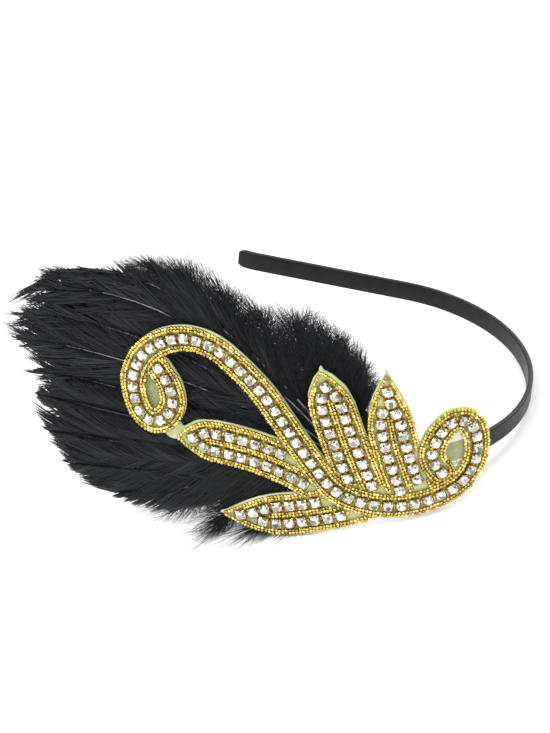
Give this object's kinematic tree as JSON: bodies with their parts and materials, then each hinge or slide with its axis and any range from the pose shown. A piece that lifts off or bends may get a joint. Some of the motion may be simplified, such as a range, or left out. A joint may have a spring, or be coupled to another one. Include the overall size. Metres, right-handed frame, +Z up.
{
  "type": "flapper feather headband",
  "caption": "Narrow satin alice band with a gold beaded scroll-and-leaf ornament set with clear stones, and a spray of black feathers behind it.",
  "frame": {"origin": "middle of the bounding box on the surface that the headband lies on", "axes": "+Z up from the surface, +X from the tips of the arms towards the crown of the band, +Y from the ornament towards the plain arm"},
  "size_m": [0.1598, 0.1496, 0.1083],
  "materials": {
    "satin": "black satin ribbon wound over the band",
    "felt": "matt black felt",
    "organza": "stiff pale sage organza over net",
    "gold_beads": "shiny gold-coloured seed beads",
    "crystal": "clear cut stones in gold-coloured cups",
    "feather": "black dyed feather, glossy on the broad ones and soft on the down"
  },
  "bodies": {
    "root": {"headband": "satin", "felt_pad": "felt", "ornament_backing": "organza", "scroll_beading": "gold_beads", "tall_leaf_edging": "gold_beads", "tall_leaf_vein": "gold_beads", "right_leaf_edging": "gold_beads", "right_leaf_vein": "gold_beads", "left_leaf_edging": "gold_beads", "left_leaf_vein": "gold_beads", "low_leaf_edging": "gold_beads", "low_leaf_vein": "gold_beads", "scroll_stones": "crystal", "tall_leaf_stones": "crystal", "right_leaf_stones": "crystal", "left_leaf_stones": "crystal", "low_leaf_stones": "crystal", "broad_feathers": "feather", "long_feathers": "feather", "upper_down": "feather", "lower_down": "feather"}
  },
  "joints": []
}
